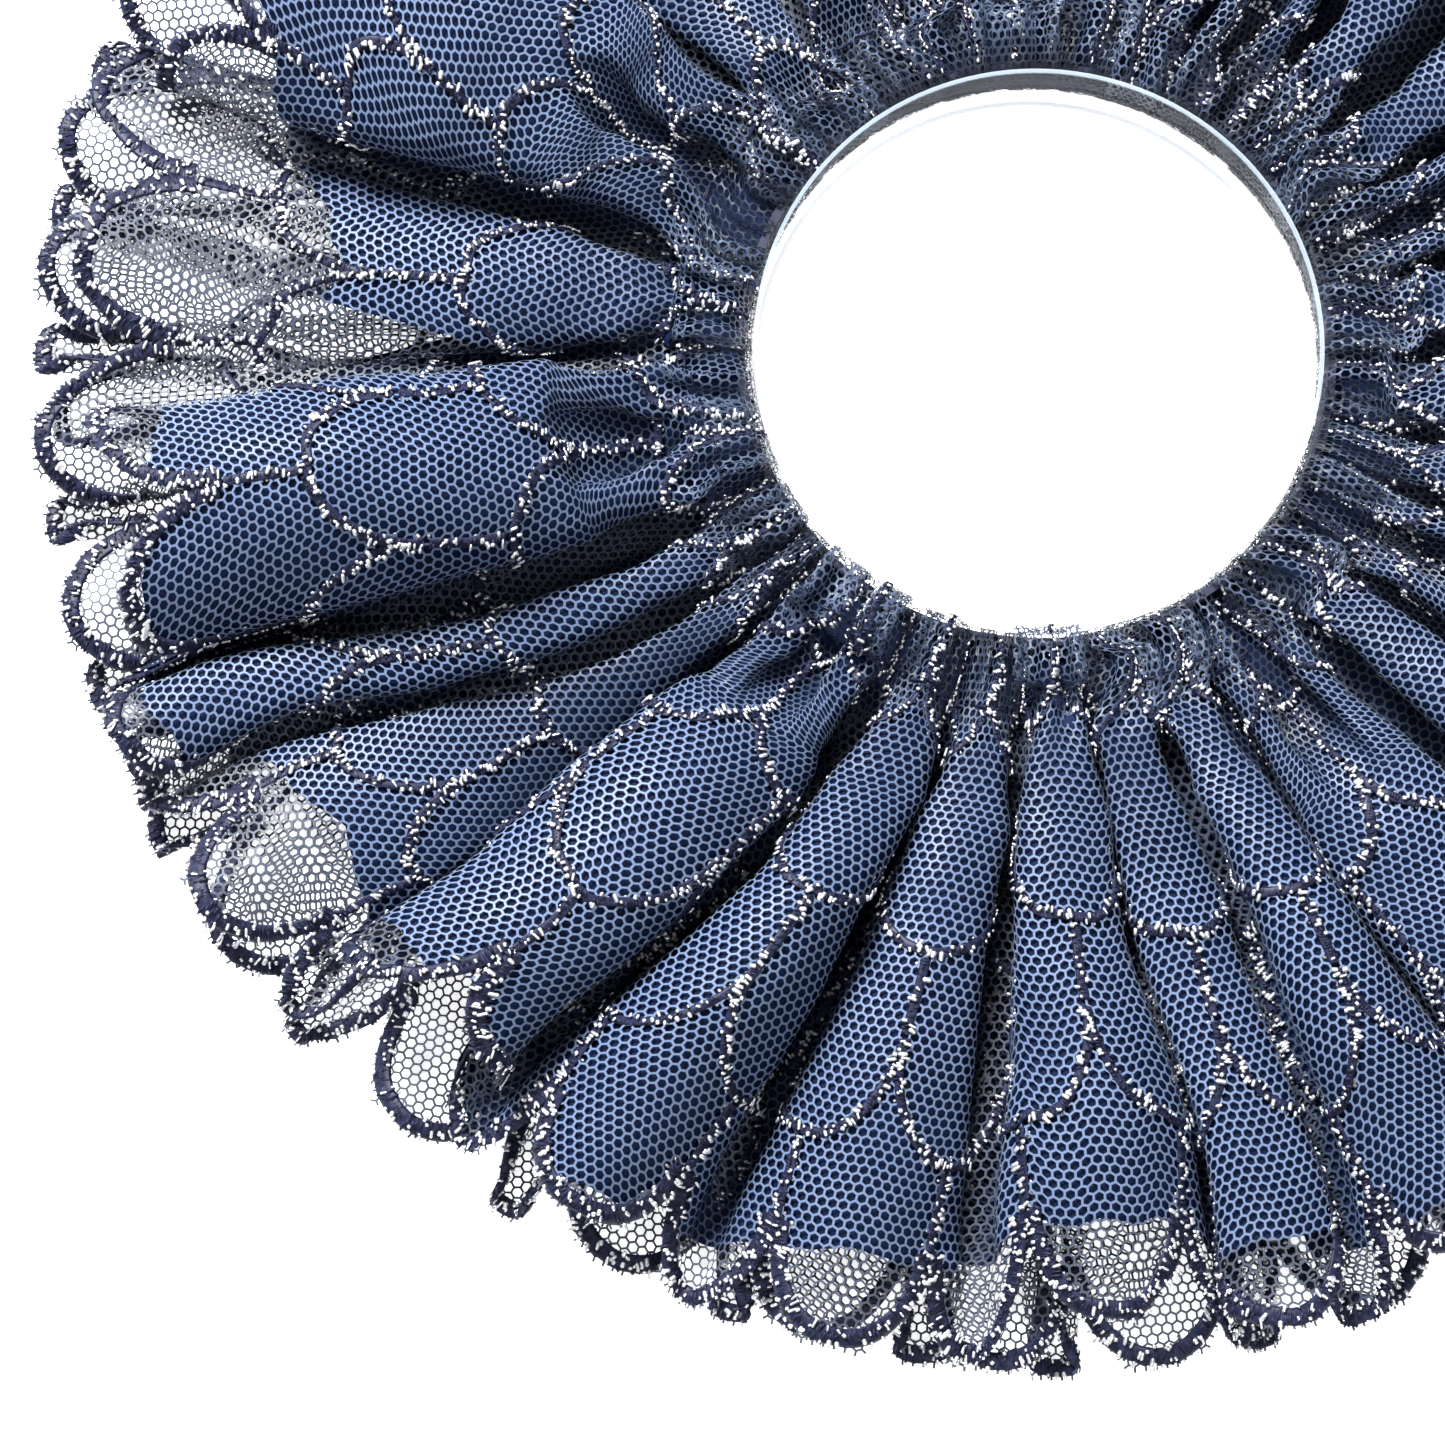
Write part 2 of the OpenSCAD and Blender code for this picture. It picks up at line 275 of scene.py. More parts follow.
def lobe_edges(lobes, r):
    """The angles that the lobes end at, at each radius."""
    ends = np.radians([(lobe.at_casing, lobe.at_rim) for lobe in lobes])
    ends = np.concatenate([ends[-1:] - 2 * math.pi, ends])
    spread = smooth_step(r, *SPREAD_RADII)
    return ends[:, :1] * (1 - spread) + ends[:, 1:] * spread


def crumples(rng, r):
    """What the casing's small gathers and the cloth's random crumples add to its tangent."""
    gather = GATHER_TURN * (1 - smooth_step(r, 33, 43))
    phase = 2.2 * cloth_noise(rng, (60, 6))
    turns = (np.arange(STEPS_U) * 2 * math.pi * GATHERS / STEPS_U)[:, None]
    return gather * np.sin(turns + phase) + 0.16 * cloth_noise(rng, (84, 6)) + 0.07 * cloth_noise(rng, (260, 16))


def fold_lobe(rng, lobe, r, width, extra, crown, keeps):
    """Folds one lobe's cloth so that at each radius it spans its width, which is in radians.

    Returns how far across the lobe each sample lies, from 0 to 1, and how high it stands off the valleys' path.
    """
    length = len(extra) * STEP_U
    s = ((np.arange(len(extra)) + 0.5) * STEP_U)[:, None]
    want = np.minimum(width * r, TIGHTEST * length)
    turn = FULL_TURN * np.interp(r, TUBE_RADII, [min(TUBE_TURN, lobe.turn), lobe.turn])
    merge = MERGE_RADIUS + rng.uniform(-6, 8)
    inner = (1 - smooth_step(r, 39, merge)) * (lobe.tubes > 1)
    lean = rng.uniform(-0.1, 0.1) * smooth_step(r, 60, 80)
    bulge = crown * smooth_step(r, 36, 50)
    gap = VALLEY * rng.uniform(0.5, 1.5) * np.interp(r, *zip(*VALLEY_SHARES))

    def tangent_for(half):
        return lobe_tangent(s, length, half, turn, inner, gap, bulge, lean) + extra

    low, high = np.zeros(STEPS_V), most_half(length, turn, inner, gap)
    for _ in range(20):
        half = (low + high) / 2
        too_wide = np.cos(tangent_for(half)).sum(axis=0) * STEP_U > want
        low, high = np.where(too_wide, half, low), np.where(too_wide, high, half)
    tangent = tangent_for(half)
    along = np.cumsum(np.cos(tangent), axis=0)
    up = np.cumsum(np.sin(tangent), axis=0) * STEP_U
    keep = np.interp(r + rng.uniform(-1.2, 1.2), *zip(*keeps))
    start, end = ARCH_RADII
    over = np.sin(math.pi * np.clip((r - start) / (end - start), 0, 1)) * lobe.arch
    stand = (up - up[-1] * (s / length)) * keep + over * np.sin(math.pi * s / length) ** 1.5
    return (along - 0.5 * np.cos(tangent)) / along[-1], stand


def off_path(path, stand, angle):
    """Points that stand off the path, along its normal, clear of the hoop and the floor."""
    out = np.gradient(path, axis=0)
    out /= np.linalg.norm(out, axis=1, keepdims=True)
    radius = np.maximum(path[None, :, 0] - out[None, :, 1] * stand, CLEAR_R + 0.1)
    level = np.maximum(path[None, :, 1] + out[None, :, 0] * stand, 0.4)
    return np.stack([radius * np.cos(angle), radius * np.sin(angle), level], axis=2)


def fold_cloth(lobes, knots, keeps, crown, seed):
    """Gathers the strip round the axis.

    At each radius each lobe's cloth doubles back on itself just enough to use up what its share of the circle
    can't hold. keeps is pairs of radius and the share of a fold's full height that it has there.
    """
    rng = np.random.default_rng(seed)
    path = path_points(knots)
    r = path[:, 0]
    edges = lobe_edges(lobes, r)
    columns = np.concatenate([[0], np.cumsum([lobe.scallops for lobe in lobes])]) * (STEPS_U // SCALLOPS)
    extra = crumples(rng, r)
    angle = np.empty((STEPS_U, STEPS_V))
    stand = np.empty((STEPS_U, STEPS_V))
    for k, lobe in enumerate(lobes):
        here = slice(columns[k], columns[k + 1])
        width = edges[k + 1] - edges[k]
        share, stand[here] = fold_lobe(rng, lobe, r, width, extra[here], crown, keeps)
        angle[here] = edges[k] + width * share

    u = (np.arange(STEPS_U) * STEP_U)[:, None]
    flutter = FLUTTER * np.cos(2 * math.pi * u / SCALLOP_PITCH) * smooth_step(r, 84, 100)[None, :]
    wobble = WOBBLE * cloth_noise(rng, (44, 5)) * smooth_step(r, 40, 70)[None, :]
    stand = np.maximum(stand + flutter + wobble, LOWEST)
    points = off_path(path, stand, angle + wobble / r[None, :])
    full = np.interp(r, *zip(*FULL_HEIGHTS))
    # The net's material paints shade by openness, darker towards the bottoms of the valleys.
    openness = smooth_step(stand, 0.1 * full, full)
    rows = np.concatenate([points, openness[..., None]], axis=2)
    half_scallop = STEPS_U // SCALLOPS // 2
    return measured_cloth(np.roll(rows, half_scallop, axis=0))


def measured_cloth(points):
    """Turns the radial rows into rows of equal cloth, so that v is the cloth's length from the casing's top."""
    steps = np.linalg.norm(np.diff(points[..., :3], axis=1), axis=2)
    length = np.concatenate([np.zeros((STEPS_U, 1)), np.cumsum(steps, axis=1)], axis=1)
    # Cloth can't slip between neighbouring columns, so their lengths are evened out.
    ring = np.concatenate([length[-EVEN_OUT:], length, length[:EVEN_OUT]])
    total = np.cumsum(np.concatenate([np.zeros((1, ring.shape[1])), ring]), axis=0)
    around = (total[2 * EVEN_OUT:] - total[:-2 * EVEN_OUT])[:STEPS_U] / (2 * EVEN_OUT)
    length = (length + 2 * around) / 3
    v = np.arange(-FOLD_BACK, DEPTH + 1.5, CLOTH_STEP)
    even = np.empty((STEPS_U, len(v), 4))
    for i in range(STEPS_U):
        for k in range(4):
            even[i, :, k] = np.interp(v + FOLD_BACK, length[i], points[i, :, k])
    return Cloth(even[..., :3], even[..., 3], -FOLD_BACK, CLOTH_STEP)


def keep_clear(points):
    """Moves points out of the hoop and off the floor."""
    radius = np.hypot(points[:, 0], points[:, 1])
    points[:, :2] *= np.maximum(1, CLEAR_R / radius)[:, None]
    points[:, 2] = np.maximum(points[:, 2], CLEAR_Z)
    return points


def make_mesh(name, points, faces_by_size):
    """A mesh object from points in millimetres and arrays of triangles and quads."""
    points = keep_clear(np.array(points))
    mesh = bpy.data.meshes.new(name)
    loops = np.concatenate([f.ravel() for f in faces_by_size])
    totals = np.concatenate([np.full(len(f), f.shape[1]) for f in faces_by_size])
    starts = np.concatenate([[0], np.cumsum(totals)[:-1]])
    mesh.vertices.add(len(points))
    mesh.vertices.foreach_set("co", (points * MM).astype(np.float32).ravel())
    mesh.loops.add(len(loops))
    mesh.loops.foreach_set("vertex_index", loops.astype(np.int32))
    mesh.polygons.add(len(totals))
    mesh.polygons.foreach_set("loop_start", starts.astype(np.int32))
    mesh.polygons.foreach_set("use_smooth", np.ones(len(totals), bool))
    mesh.update(calc_edges=True)
    piece = bpy.data.objects.new(name, mesh)
    bpy.context.scene.collection.objects.link(piece)
    return piece


def scallop_edge(u):
    """How far out the cloth reaches at u, in v."""
    x = (u / SCALLOP_PITCH) % 1.0 * 2 - 1
    return DEPTH - SCALLOP_DEPTH * (1 - np.sqrt(np.maximum(0, 1 - x * x)))


def add_attribute(piece, name, values):
    """Stores a value at each point, for the material to read."""
    piece.data.attributes.new(name, "FLOAT", "POINT").data.foreach_set("value", values.astype(np.float32))


def net_holes(seed):
    """Which of the net's holes are there, and the u and v of the six corners of each."""
    rng = np.random.default_rng(seed)
    rows = int((DEPTH + FOLD_BACK + 1) / CELL_ROW)
    i, j = np.meshgrid(np.arange(CELLS_ROUND), np.arange(rows), indexing="ij")
    u = (i + 0.5 * (j % 2)) * CELL
    v = -FOLD_BACK + 0.5 + j * CELL_ROW
    there = v < scallop_edge(u) + rng.uniform(0.1, 1.1, u.shape)
    size = CELL / math.sqrt(3) * (1 - NET_THREAD / CELL)
    turn = np.radians(30 + 60 * np.arange(6))
    return there, u[..., None] + size * np.cos(turn), v[..., None] + size * np.sin(turn)


def net_faces(there):
    """The strands between two holes and the joints between three.

    Each is a mask of the holes that have one on their right or above, and the corners that it spans.
    """
    columns, rows = there.shape
    i, j = np.meshgrid(np.arange(columns), np.arange(rows), indexing="ij")
    index = (i * rows + j)[..., None] * 6 + np.arange(6)

    def hole_at(column, row):
        column, inside, row = column % columns, row < rows, np.minimum(row, rows - 1)
        return index[column, row], there[column, row] & inside

    def span(*corners):
        return np.stack([hole[..., corner] for hole, corner in corners], axis=-1)

    odd = j % 2
    right, has_right = hole_at(i + 1, j)
    up_right, has_up_right = hole_at(i + odd, j + 1)
    up_left, has_up_left = hole_at(i + odd - 1, j + 1)
    strands = [
        (there & has_right, span((index, 0), (index, 5), (right, 3), (right, 2))),
        (there & has_up_right, span((index, 1), (index, 0), (up_right, 4), (up_right, 3))),
        (there & has_up_left, span((index, 2), (index, 1), (up_left, 5), (up_left, 4))),
    ]
    joints = [
        (there & has_right & has_up_right, span((index, 0), (right, 2), (up_right, 4))),
        (there & has_up_right & has_up_left, span((index, 1), (up_right, 3), (up_left, 5))),
    ]
    return strands, joints


def net_panels(name, cloth, bare_from, seed):
    """The hexagonal net as real threads, cut into panels.

    bare_from(u) is the v from which no lining lies under it.
    """
    there, hole_u, hole_v = net_holes(seed)
    strands, joints = net_faces(there)
    points = cloth.at(hole_u, hole_v).reshape(-1, 3)
    openness = cloth.sample(cloth.openness, hole_u, hole_v).ravel()
    # bare marks where the material paints the thread's darker, greyer shade.
    bare = smooth_step(hole_v - bare_from(hole_u), -0.5, 0.5).ravel()
    panel_of = (np.arange(CELLS_ROUND) * NET_PANELS // CELLS_ROUND)[:, None]
    panels = []
    for panel in range(NET_PANELS):
        here = panel_of == panel
        quads = np.concatenate([corners[on & here] for on, corners in strands])
        tris = np.concatenate([corners[on & here] for on, corners in joints])
        used, packed = np.unique(np.concatenate([quads.ravel(), tris.ravel()]), return_inverse=True)
        faces = [packed[:quads.size].reshape(quads.shape), packed[quads.size:].reshape(tris.shape)]
        piece = make_mesh(f"{name}_{panel + 1}", points[used], faces)
        add_attribute(piece, "openness", openness[used])
        add_attribute(piece, "bare", bare[used])
        panels.append(piece)
    return panels


def lay_stitches(cloth, u, v, du, dv, half, width, thick, lift):
    """One closed spindle of thread for each stitch, centred at (u, v), along (du, dv) in the flat cloth.

    All but u can be one number for all of them. half is half of a stitch's length.
    """
    n = len(u)
    v, du, dv, half, width, thick, lift = (np.broadcast_to(a, n) for a in (v, du, dv, half, width, thick, lift))
    along = np.array([-1.0, -0.7, 0.7, 1.0])
    spine_u = u[:, None] + du[:, None] * half[:, None] * along
    spine_v = v[:, None] + dv[:, None] * half[:, None] * along
    spine = cloth.at(spine_u, spine_v)
    normal = cloth.sample(cloth.normals, spine_u, spine_v)
    run = spine[:, 3] - spine[:, 0]
    run /= np.maximum(np.linalg.norm(run, axis=1, keepdims=True), 1e-9)
    spine = spine + normal * lift[:, None, None]
    points = np.empty((n, 10, 3))
    points[:, 0], points[:, 9] = spine[:, 0], spine[:, 3]
    for k, ring in enumerate((1, 2)):
        side = np.cross(normal[:, ring], run)
        side /= np.maximum(np.linalg.norm(side, axis=1, keepdims=True), 1e-9)
        w, t = side * width[:, None] / 2, normal[:, ring] * thick[:, None] / 2
        first = 1 + 4 * k
        points[:, first] = spine[:, ring] + w
        points[:, first + 1] = spine[:, ring] + t
        points[:, first + 2] = spine[:, ring] - w
        points[:, first + 3] = spine[:, ring] - t
    tris = [[0, 1 + (k + 1) % 4, 1 + k] for k in range(4)] + [[9, 5 + k, 5 + (k + 1) % 4] for k in range(4)]
    quads = [[1 + k, 1 + (k + 1) % 4, 5 + (k + 1) % 4, 5 + k] for k in range(4)]
    base = (np.arange(n) * 10)[:, None, None]
    tris, quads = (base + np.array(tris)).reshape(-1, 3), (base + np.array(quads)).reshape(-1, 4)
    return points.reshape(-1, 3), tris, quads


def line_of(row):
    return SCALE if row else BORDER


def row_line(row, spacing):
    """Points along one row of scales and the direction across the line. Row 0 is the border.

    Inside the border each scale hangs on a straight line of stitches from the cusp between two scales outside it.
    """
    border = row == 0
    top = DEPTH - row * ROW_STEP
    inset = BORDER.width / 2 if border else 0.0
    turn = np.linspace(0, math.pi, 400)
    line = np.stack([-(SCALLOP_PITCH / 2 - 0.5 * inset) * np.cos(turn),
                     top - SCALLOP_DEPTH - 0.3 * inset + (SCALLOP_DEPTH - 0.7 * inset) * np.sin(turn)], axis=1)
    length = np.concatenate([[0], np.cumsum(np.hypot(*np.diff(line, axis=0).T))])
    at = np.arange(spacing / 2, length[-1], spacing)
    line_u, line_v = np.interp(at, length, line[:, 0]), np.interp(at, length, line[:, 1])
    run_u, run_v = np.gradient(line_u), np.gradient(line_v)
    if not border:
        stem = np.arange(0.8, ROW_STEP - SCALLOP_DEPTH - 0.5, spacing)
        line_u, line_v = np.concatenate([line_u, 0 * stem]), np.concatenate([line_v, top + stem])
        run_u, run_v = np.concatenate([run_u, 0 * stem]), np.concatenate([run_v, 0 * stem + 1])
    size = np.hypot(run_u, run_v)
    on_cloth = line_v > 1.5
    line_u, line_v, run_u, run_v, size = (a[on_cloth] for a in (line_u, line_v, run_u, run_v, size))
    centres = (np.arange(SCALLOPS) + 0.5 + 0.5 * (row % 2))[:, None] * SCALLOP_PITCH
    return ((centres + line_u).ravel(), np.tile(line_v, SCALLOPS),
            np.tile(-run_v / size, SCALLOPS), np.tile(run_u / size, SCALLOPS))


def slanted(rng, du, dv, spread):
    """Directions turned at random, by spread radians or so."""
    slant = rng.normal(0, spread, len(du))
    return du * np.cos(slant) - dv * np.sin(slant), du * np.sin(slant) + dv * np.cos(slant)


def satin_cord(cloth, row):
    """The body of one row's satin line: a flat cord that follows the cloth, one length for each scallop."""
    line = line_of(row)
    u, v, du, dv = row_line(row, line.cord_step)
    across = np.array([-0.36, -0.25, 0.25, 0.36, 0.25, -0.25]) * line.width
    lift = np.array([0, 1, 1, 0, -1, -1]) * line.cord_height
    points = cloth.at(u[:, None] + du[:, None] * across, v[:, None] + dv[:, None] * across,
                      np.broadcast_to(lift, (len(u), 6)))
    ring = np.arange(len(u) - 1)
    ring = ring[np.hypot(np.diff(u), np.diff(v)) < 1.6 * line.cord_step]  # a wider gap ends a length
    side = np.arange(6)
    first, second = ring[:, None] * 6 + side, ring[:, None] * 6 + (side + 1) % 6
    return points.reshape(-1, 3), np.stack([first, first + 6, second + 6, second], axis=-1).reshape(-1, 4)


def satin_row(name, cloth, rows, seed):
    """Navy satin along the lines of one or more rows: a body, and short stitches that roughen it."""
    rng = np.random.default_rng(seed)
    line = line_of(rows[0])
    lines = [row_line(row, line.stitch_step) for row in rows]
    u, v, du, dv = (np.concatenate(parts) for parts in zip(*lines))
    n = len(u)
    du, dv = slanted(rng, du, dv, 0.35)
    half = line.width * rng.uniform(0.16, 0.30, n)
    off = rng.uniform(-1, 1, n) * (line.width / 2 - half)
    points, tris, quads = lay_stitches(cloth, u + du * off, v + dv * off, du, dv, half,
                                       rng.uniform(0.26, 0.40, n), rng.uniform(0.40, 0.80, n),
                                       rng.normal(0, 0.06, n))
    parts, faces, base = [points], [quads], len(points)
    for row in rows:
        cord, sides = satin_cord(cloth, row)
        parts.append(cord)
        faces.append(sides + base)
        base += len(cord)
    return make_mesh(name, np.concatenate(parts), [tris, np.concatenate(faces)])


def silver_flecks(name, cloth, rows, seed):
    """Short glints of metallic thread that come up on both faces of the satin lines."""
    rng = np.random.default_rng(seed)
    points, tris, quads, base = [], [], [], 0
    for row in rows:
        line = line_of(row)
        u, v, du, dv = row_line(row, line.fleck_step)
        keep = rng.random(len(u)) < 0.9
        u, v, du, dv = u[keep], v[keep], du[keep], dv[keep]
        n = len(u)
        du, dv = slanted(rng, du, dv, 0.3)
        off = rng.uniform(-0.44, 0.44, n) * line.width
        face = np.where(rng.random(n) < 0.68, 1.0, -1.0)
        half = 0.15 + 0.40 * rng.random(n) ** 1.6
        p, t, q = lay_stitches(cloth, u + du * off, v + dv * off, du, dv, half,
                               rng.uniform(0.24, 0.50, n), rng.uniform(0.20, 0.30, n),
                               face * rng.uniform(0.34, 0.46, n))
        points.append(p)
        tris.append(t + base)
        quads.append(q + base)
        base += len(p)
    return make_mesh(name, np.concatenate(points), [np.concatenate(tris), np.concatenate(quads)])


def ring_faces(n_u, n_v):
    """The quads of a grid that closes on itself along u."""
    i, j = np.meshgrid(np.arange(n_u), np.arange(n_v - 1), indexing="ij")
    k = (i + 1) % n_u
    return np.stack([i * n_v + j, k * n_v + j, k * n_v + j + 1, i * n_v + j + 1], axis=-1).reshape(-1, 4)


def lining_cut(u):
    """How far the lining reaches at each u, with straight slanting cuts between lobes."""
    scallops = np.array([lobe.scallops for lobe in UPPER_LOBES])
    centres = (np.cumsum(scallops) + 0.5 - scallops / 2) * SCALLOP_PITCH
    reach = np.interp(u, centres, LINING_REACH, period=STRIP)
    slit_at, slit_half, left = LINING_SLIT
    beside = np.clip((np.abs(u - slit_at) - slit_half) / 4 + 1, 0, 1)
    return left + (reach - left) * beside


def under_gathers(cloth, angle, v):
    """Where flat cloth lies under the net: round the axis, just below the net's lowest points at each v."""
    heights = cloth.points[:, :, 2]
    radii = np.hypot(cloth.points[:, :, 0], cloth.points[:, :, 1])
    row, rows = (v - cloth.v_from) / cloth.v_step, np.arange(heights.shape[1])
    level = np.interp(row, rows, np.percentile(heights, 1, axis=0) - 0.6)
    radius = np.interp(row, rows, radii.mean(axis=0))
    return np.stack([radius * np.cos(angle), radius * np.sin(angle), level], axis=2)


def lining_sheet(cloth):
    """Smooth dark cloth just under the upper net. By the casing it lies flat under the net's small gathers."""
    n_u, n_v = LINING_GRID
    u = np.arange(n_u) / n_u * STRIP
    cut = np.minimum(lining_cut(u), scallop_edge(u) - BORDER.width / 2)
    v = LINING_START + np.linspace(0, 1, n_v)[None, :] * (cut[:, None] - LINING_START)
    points = cloth.at(np.broadcast_to(u[:, None], v.shape), v, np.full(v.shape, -LINING_GAP))
    flat = under_gathers(cloth, np.arctan2(points[..., 1], points[..., 0]), v)
    near = (1 - smooth_step(v, *LINING_FLAT))[..., None]
    points = near * flat + (1 - near) * points
    return make_mesh("lining_sheet", points.reshape(-1, 3), [ring_faces(n_u, n_v)])


def casing_thread(cloth):
    """Running stitches that close the casing, between it and the ruffles."""
    u = (np.arange(CASING_STITCHES) + 0.5) / CASING_STITCHES * STRIP
    points, tris, quads = lay_stitches(cloth, u, CASING_STITCH_V, 1, 0, half=1.5, width=0.35, thick=0.35, lift=0.25)
    return make_mesh("casing_thread", points, [tris, quads])


def seam_strip(name, cloth, node):
    """Overlocked stitches over the joined ends of the strip, where the CAD seam is."""
    rng = np.random.default_rng(5)
    low, high = low_high(node)
    x, y = ((low + high) / 2)[:2]
    columns = np.arange(0, STRIP, 0.5)
    there = cloth.at(columns, np.full(len(columns), SEAM_MATCH_V))
    off = np.abs(np.angle(np.exp(1j * (np.arctan2(there[:, 1], there[:, 0]) - math.atan2(y, x)))))
    v = np.arange(2.0, DEPTH - 4, 0.55)
    u = columns[np.argmin(off)] + rng.normal(0, 0.08, len(v))
    slant = 0.35 * (-1.0) ** np.arange(len(v))
    points, tris, quads = lay_stitches(cloth, u, v, np.cos(slant), np.sin(slant), half=1.1, width=0.32, thick=0.3,
                                       lift=-0.3)
    return make_mesh(name, points, [tris, quads])


# Materials. Each takes its colour from noise between two colours, in the object's own coordinates.

NET_DARK, NET_LIGHT = (0.115, 0.160, 0.270), (0.150, 0.200, 0.325)
# Painted shade: the net's thread where no lining lies under it, darker and greyer than where the lining backs it.
BARE_THREAD_SHADE = (0.060, 0.072, 0.100)
VALLEY_SHADE = 0.30  # what is left of the net's colour at the bottom of a valley
CASING_SHADE = (0.028, 0.060, 0.36)  # from one radius in metres to another it lightens, from this share
LINING_DARK, LINING_LIGHT = (0.003, 0.008, 0.030), (0.006, 0.014, 0.048)
SATIN_DARK, SATIN_LIGHT = (0.006, 0.008, 0.024), (0.020, 0.024, 0.060)
SILVER_DARK, SILVER_LIGHT = (0.86, 0.88, 0.94), (1.0, 1.0, 1.0)
HOOP_DARK, HOOP_LIGHT = (0.66, 0.80, 0.95), (0.74, 0.86, 0.98)
# Painted highlight: the hoop's rims are more opaque than its wall.
HOOP_ALPHA, HOOP_RIM_ALPHA = 0.012, 0.35
ELASTIC_DARK, ELASTIC_LIGHT = (0.010, 0.012, 0.030), (0.030, 0.034, 0.070)


def new_material(name, roughness, specular=0.5):
    material = bpy.data.materials.new(name)
    material.use_nodes = True
    shader = material.node_tree.nodes["Principled BSDF"]
    shader.inputs["Roughness"].default_value = roughness
    shader.inputs["Specular IOR Level"].default_value = specular
    return material, material.node_tree, shader


def varied_colour(tree, shader, dark, light, scale, detail=3.0):
    """Noise between two colours, into the base colour. Returns the object's coordinates and the colour."""
    place = tree.nodes.new("ShaderNodeTexCoord").outputs["Object"]
    noise = tree.nodes.new("ShaderNodeTexNoise")
    ramp = tree.nodes.new("ShaderNodeValToRGB")
    noise.inputs["Scale"].default_value = scale
    noise.inputs["Detail"].default_value = detail
    for element, position, colour in zip(ramp.color_ramp.elements, (0.3, 0.7), (dark, light)):
        element.position, element.color = position, (*colour, 1)
    tree.links.new(place, noise.inputs["Vector"])
    tree.links.new(noise.outputs["Fac"], ramp.inputs["Fac"])
    tree.links.new(ramp.outputs["Color"], shader.inputs["Base Color"])
    return place, ramp.outputs["Color"]


def add_bump(tree, shader, height, strength, distance):
    bump = tree.nodes.new("ShaderNodeBump")
    bump.inputs["Strength"].default_value = strength
    bump.inputs["Distance"].default_value = distance
    tree.links.new(height, bump.inputs["Height"])
    tree.links.new(bump.outputs["Normal"], shader.inputs["Normal"])


def stored_value(tree, name):
    """What add_attribute stored at each point of the mesh."""
    attribute = tree.nodes.new("ShaderNodeAttribute")
    attribute.attribute_name = name
    return attribute.outputs["Fac"]


def mapped(tree, value, from_low, from_high, to_low, to_high):
    """The value carried from one range into another."""
    node = tree.nodes.new("ShaderNodeMapRange")
    for name, limit in (("From Min", from_low), ("From Max", from_high), ("To Min", to_low), ("To Max", to_high)):
        node.inputs[name].default_value = limit
    tree.links.new(value, node.inputs["Value"])
    return node.outputs["Result"]


def scaled(tree, colour, share):
    """The colour darkened to a share of itself."""
    node = tree.nodes.new("ShaderNodeVectorMath")
    node.operation = "SCALE"
    tree.links.new(colour, node.inputs[0])
    tree.links.new(share, node.inputs["Scale"])
    return node.outputs["Vector"]


def bare_shade_tone(tree, colour):
    """The colour where the lining backs the net, and beyond it the same thread painted darker and greyer as painted
    shade.
    """
    node = tree.nodes.new("ShaderNodeMix")
    node.data_type = "RGBA"
    node.inputs[7].default_value = (*BARE_THREAD_SHADE, 1)
    tree.links.new(stored_value(tree, "bare"), node.inputs["Factor"])
    tree.links.new(colour, node.inputs[6])
    return node.outputs[2]


def axis_distance(tree, place):
    """How far a place is from the ring's axis."""
    flat = tree.nodes.new("ShaderNodeVectorMath")
    flat.operation = "MULTIPLY"
    flat.inputs[1].default_value = (1, 1, 0)
    length = tree.nodes.new("ShaderNodeVectorMath")
    length.operation = "LENGTH"
    tree.links.new(place, flat.inputs[0])
    tree.links.new(flat.outputs["Vector"], length.inputs[0])
    return length.outputs["Value"]


def net_material():
    """Blue thread with painted shade: darker and greyer where no lining lies under it, and darker in the valleys and
    near the casing.
    """
    material, tree, shader = new_material("net_thread", 0.45, 0.25)
    place, colour = varied_colour(tree, shader, NET_DARK, NET_LIGHT, 60)
    # Painted shade: darker towards the bottoms of the valleys, by the openness stored at each point.
    colour = scaled(tree, colour, mapped(tree, stored_value(tree, "openness"), 0, 1, VALLEY_SHADE, 1))
    # Painted shade: darker towards the casing, from the outer radius in to the inner one.
    start, end, share = CASING_SHADE
    colour = scaled(tree, bare_shade_tone(tree, colour), mapped(tree, axis_distance(tree, place), start, end, share, 1))
    tree.links.new(colour, shader.inputs["Base Color"])
    return material


def lining_material():
    material, tree, shader = new_material("lining_cloth", 0.7, 0.1)
    place, _ = varied_colour(tree, shader, LINING_DARK, LINING_LIGHT, 90)
    fine = tree.nodes.new("ShaderNodeTexNoise")
    fine.inputs["Scale"].default_value = 2500
    tree.links.new(place, fine.inputs["Vector"])
    add_bump(tree, shader, fine.outputs["Fac"], 0.3, 0.0001)
    return material


def satin_material():
    material, tree, shader = new_material("satin_thread", 0.45, 0.2)
    varied_colour(tree, shader, SATIN_DARK, SATIN_LIGHT, 1400, 1.0)
    return material


def silver_material():
    material, tree, shader = new_material("silver_thread", 0.25)
    varied_colour(tree, shader, SILVER_DARK, SILVER_LIGHT, 900, 1.0)
    shader.inputs["Metallic"].default_value = 0.6
    return material


def hoop_material():
    """Clear plastic, almost invisible, with a painted highlight: its two rims drawn paler and more opaque than its
    wall.
    """
    material, tree, shader = new_material("clear_plastic", 0.05)
    place, _ = varied_colour(tree, shader, HOOP_DARK, HOOP_LIGHT, 40)
    middle = hoop_high[2] * MM / 2
    split = tree.nodes.new("ShaderNodeSeparateXYZ")
    from_middle = tree.nodes.new("ShaderNodeMath")
    from_middle.operation = "SUBTRACT"
    from_middle.inputs[1].default_value = middle
    either_way = tree.nodes.new("ShaderNodeMath")
    either_way.operation = "ABSOLUTE"
    tree.links.new(place, split.inputs["Vector"])
    tree.links.new(split.outputs["Z"], from_middle.inputs[0])
    tree.links.new(from_middle.outputs["Value"], either_way.inputs[0])
    alpha = mapped(tree, either_way.outputs["Value"], middle - 0.0005, middle - 0.0001, HOOP_ALPHA, HOOP_RIM_ALPHA)
    tree.links.new(alpha, shader.inputs["Alpha"])
    return material


